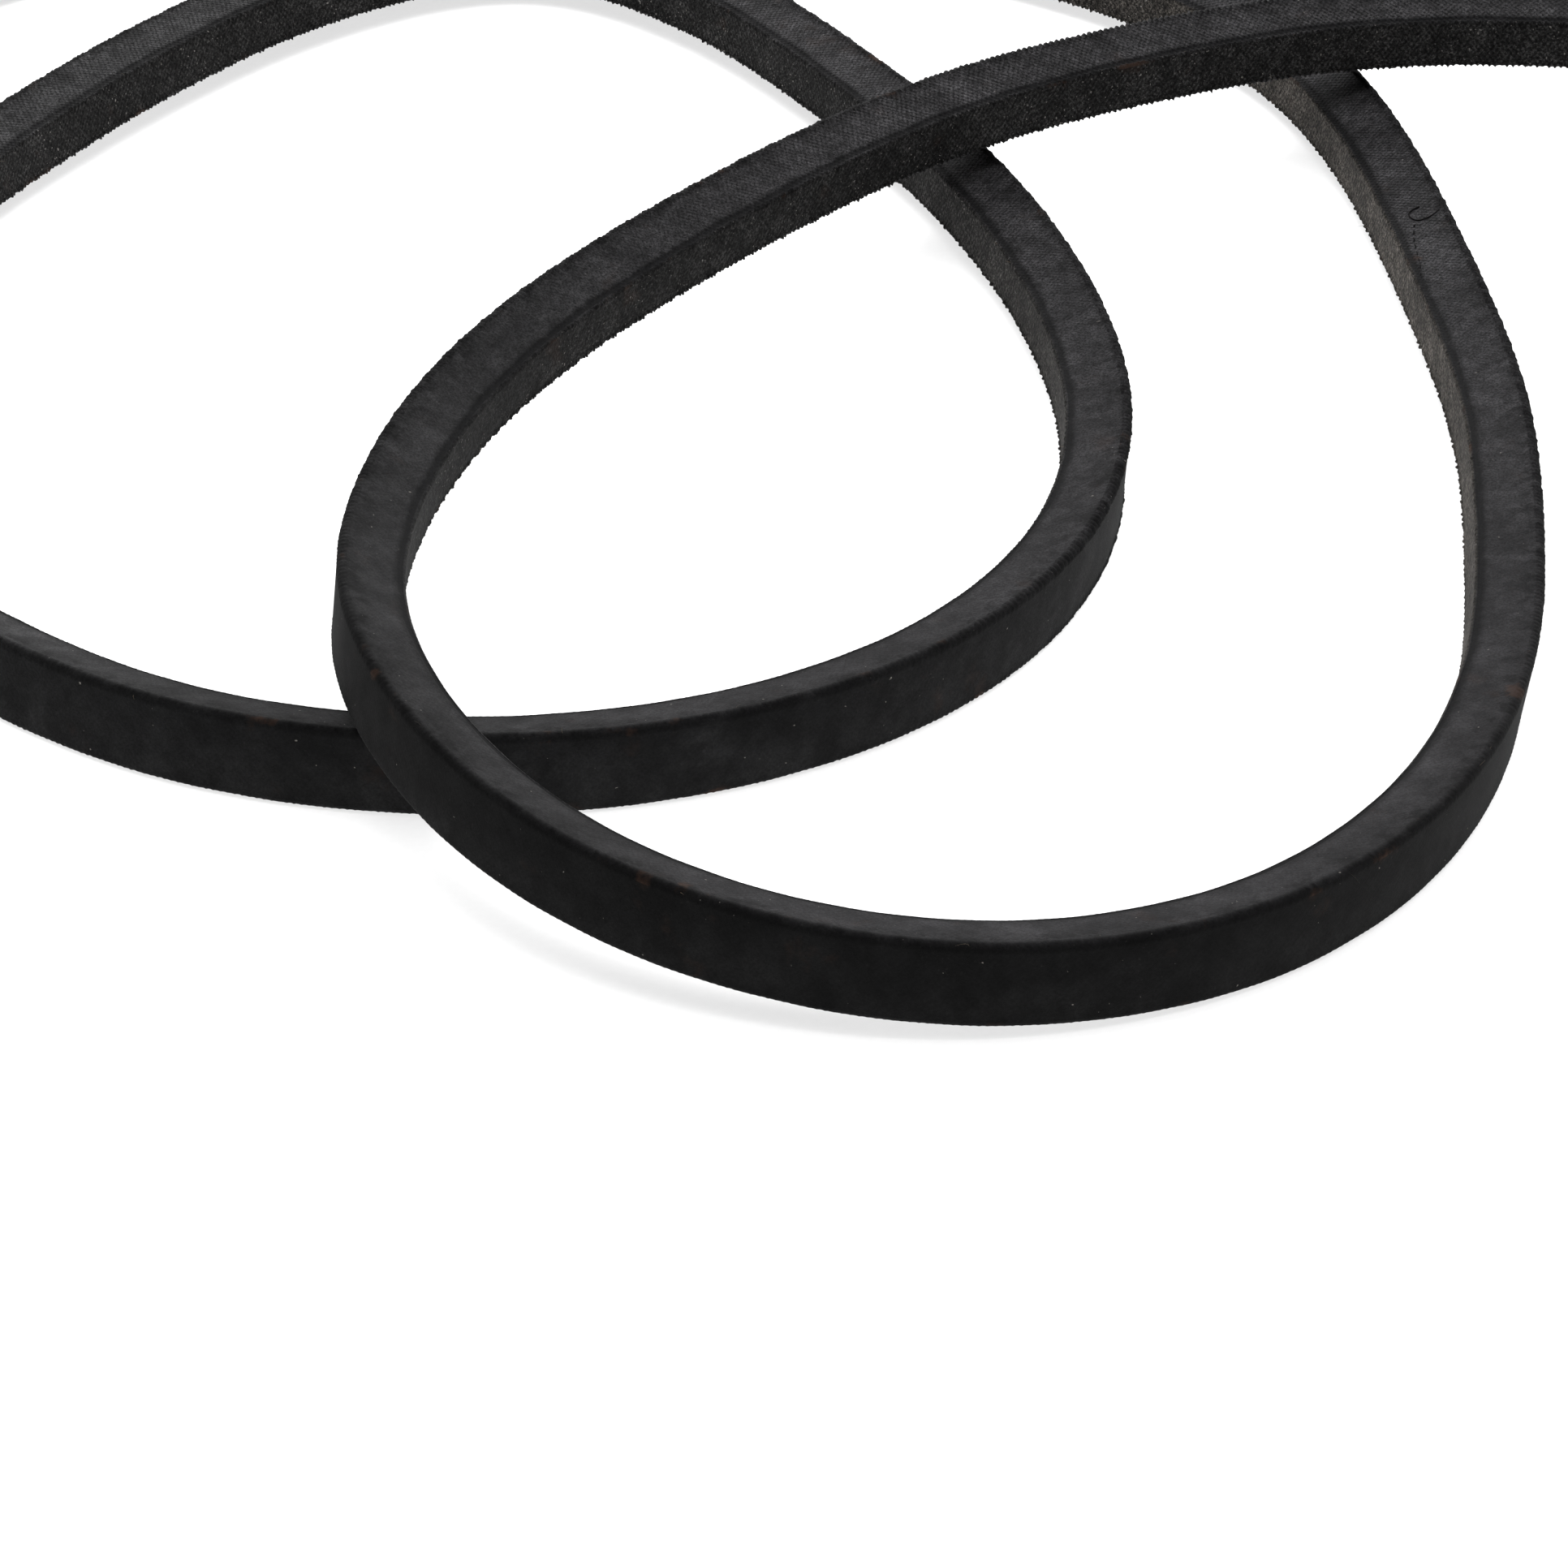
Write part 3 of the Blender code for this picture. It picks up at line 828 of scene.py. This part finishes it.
def thread_material():
    """A black cover thread, matt and slightly furry."""
    shader = Shader("pulled_thread_yarn")
    twist = shader.noise(4000, 2)
    colour = shader.mix(twist, (0.003, 0.003, 0.003), (0.012, 0.011, 0.011))
    rough = shader.step(twist, 0.3, 0.7, 0.8, 1)
    return shader.finish(Base_Color=colour, Roughness=rough, Specular_IOR_Level=0.1)


def rubber_material(name, tone, grain):
    """Moulded rubber with short fibres mixed in."""
    shader = Shader(name)
    speckle = shader.noise(grain, 4, 0.65)
    dark = [0.7 * part for part in tone]
    colour = shader.mix(shader.step(speckle, 0.35, 0.65), dark, tone)
    rough = shader.step(speckle, 0.3, 0.7, 0.62, 0.85)
    return shader.finish(Base_Color=colour, Roughness=rough, Normal=shader.bump(speckle, 0.05 * MM))


def ply_material():
    """The inner ply: the same cloth as the cover, thick with rubber."""
    shader = Shader("inner_ply_fabric")
    bands = []
    for turn in (math.radians(40), math.radians(-40)):
        turned = shader.node("VectorRotate", {"Vector": shader.here, "Angle": turn}).outputs[0]
        wave = shader.node("TexWave", {"Vector": turned, "Scale": 400, "Distortion": 1.5})
        bands.append(wave.outputs["Fac"])
    threads = shader.math("MAXIMUM", *bands)
    colour = shader.mix(threads, (0.008, 0.008, 0.008), (0.03, 0.029, 0.028))
    rough = shader.step(threads, 0, 1, 0.9, 0.7)
    return shader.finish(Base_Color=colour, Roughness=rough, Normal=shader.bump(threads, 0.06 * MM))


def cord_material():
    """Pale twisted polyester cord, stained by the rubber round it."""
    shader = Shader("tensile_cord_yarn")
    strands = {"Vector": shader.here, "Scale": 700, "Distortion": 2.0}
    twist = shader.node("TexWave", strands, bands_direction="DIAGONAL").outputs["Fac"]
    stain = shader.step(shader.noise(300, 3), 0.4, 0.7, 0, 0.6)
    colour = shader.mix(twist, (0.28, 0.22, 0.15), (0.52, 0.45, 0.34))
    colour = shader.mix(stain, colour, (0.05, 0.045, 0.04))
    rough = shader.step(twist, 0, 1, 0.75, 0.5)
    return shader.finish(Base_Color=colour, Roughness=rough, Normal=shader.bump(twist, 0.08 * MM))


def dress_core(nodes):
    """Materials for the CAD nodes that keep their own shape."""
    cushion = rubber_material("cord_cushion_rubber", (0.03, 0.024, 0.02), 1800)
    finishes = {
        "cover_inner_ply": ply_material(),
        "top_rubber": rubber_material("top_rubber_compound", (0.02, 0.02, 0.021), 900),
        "compression_rubber": rubber_material("compression_compound", (0.016, 0.016, 0.016), 700),
        "cord_cushion_outer": cushion,
        "cord_cushion_inner": cushion,
    }
    cord = cord_material()
    for name, node in nodes.items():
        if name == "cover_outer_ply":
            continue
        material = finishes.get(name, cord)
        node.data.materials.clear()
        node.data.materials.append(material)


# ---- studio


def floor_material():
    """Matt pale paper."""
    shader = Shader("studio_paper")
    grain = shader.noise(900, 3)
    colour = shader.mix(grain, (0.86, 0.86, 0.86), (0.9, 0.9, 0.9))
    rough = shader.step(grain, 0, 1, 0.9, 1)
    return shader.finish(Base_Color=colour, Roughness=rough, Specular_IOR_Level=0.0)


def build_floor():
    """A wide round sheet of paper under the belt."""
    mesh = bpy.data.meshes.new("studio_floor")
    turn = np.arange(FLOOR_CORNERS) * 2 * math.pi / FLOOR_CORNERS
    rim = np.column_stack([np.cos(turn), np.sin(turn), 0 * turn]) * FLOOR_RADIUS
    mesh.from_pydata(rim.tolist(), [], [tuple(range(FLOOR_CORNERS))])
    mesh.materials.append(floor_material())
    floor = add_object("studio_floor", mesh)
    return floor


def add_softbox(name, place, power, width, depth):
    """A rectangular soft light that points at the middle of the belt."""
    light = bpy.data.lights.new(name, "AREA")
    light.shape = "RECTANGLE"
    light.size = width
    light.size_y = depth
    light.energy = power
    lamp = add_object(name, light)
    lamp.location = place
    lamp.rotation_euler = (-Vector(place)).to_track_quat("-Z", "Y").to_euler()
    return lamp


def group_of(name, pieces):
    """A collection for light linking."""
    group = bpy.data.collections.new(name)
    for piece in pieces:
        group.objects.link(piece)
    return group


def light_studio(floor, belt):
    """A top light for everything, one that keeps the paper white, and low ones for the belt."""
    add_softbox(*TOP_LAMP)
    paper_only, belt_only = group_of("paper_only", [floor]), group_of("belt_only", belt)
    paper = add_softbox(*PAPER_LAMP)
    paper.light_linking.receiver_collection = paper_only
    paper.light_linking.blocker_collection = paper_only
    for lamp in BELT_LAMPS:
        add_softbox(*lamp).light_linking.receiver_collection = belt_only
    world = bpy.data.worlds.new("studio")
    world.use_nodes = True
    background = world.node_tree.nodes["Background"]
    background.inputs["Color"].default_value = (1, 1, 1, 1)
    background.inputs["Strength"].default_value = WORLD_LIGHT
    bpy.context.scene.world = world
    bpy.context.scene.view_settings.view_transform = "Standard"


def build_camera():
    """A long lens that looks straight along +Y and down at the coil."""
    lens = bpy.data.cameras.new("camera")
    lens.lens = VIEW_LENS
    lens.sensor_width = VIEW_SENSOR
    lens.clip_start = NEAR_CLIP
    camera = add_object("camera", lens)
    back = VIEW_HEIGHT / math.tan(VIEW_PITCH)
    camera.location = VIEW_CENTRE + Vector((0, -back, VIEW_HEIGHT))
    camera.rotation_euler = (math.pi / 2 - VIEW_PITCH, 0, 0)
    bpy.context.scene.camera = camera


# ---- the whole scene


def main():
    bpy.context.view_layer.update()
    build_camera()
    floor = build_floor()
    route, section = Route(), Section()
    cover = build_cover(route, section)
    cover.data.materials.append(cover_material(route, section))
    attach(cover, "root")
    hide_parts("cover_outer_ply")
    fibres = build_fibres(route, section)
    fibres.data.materials.append(fibre_material())
    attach(fibres, "root")
    thread = build_pulled_thread(route)
    thread.data.materials.append(thread_material())
    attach(thread, "root")
    dress_core(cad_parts)
    light_studio(floor, [cover, fibres, thread])


main()
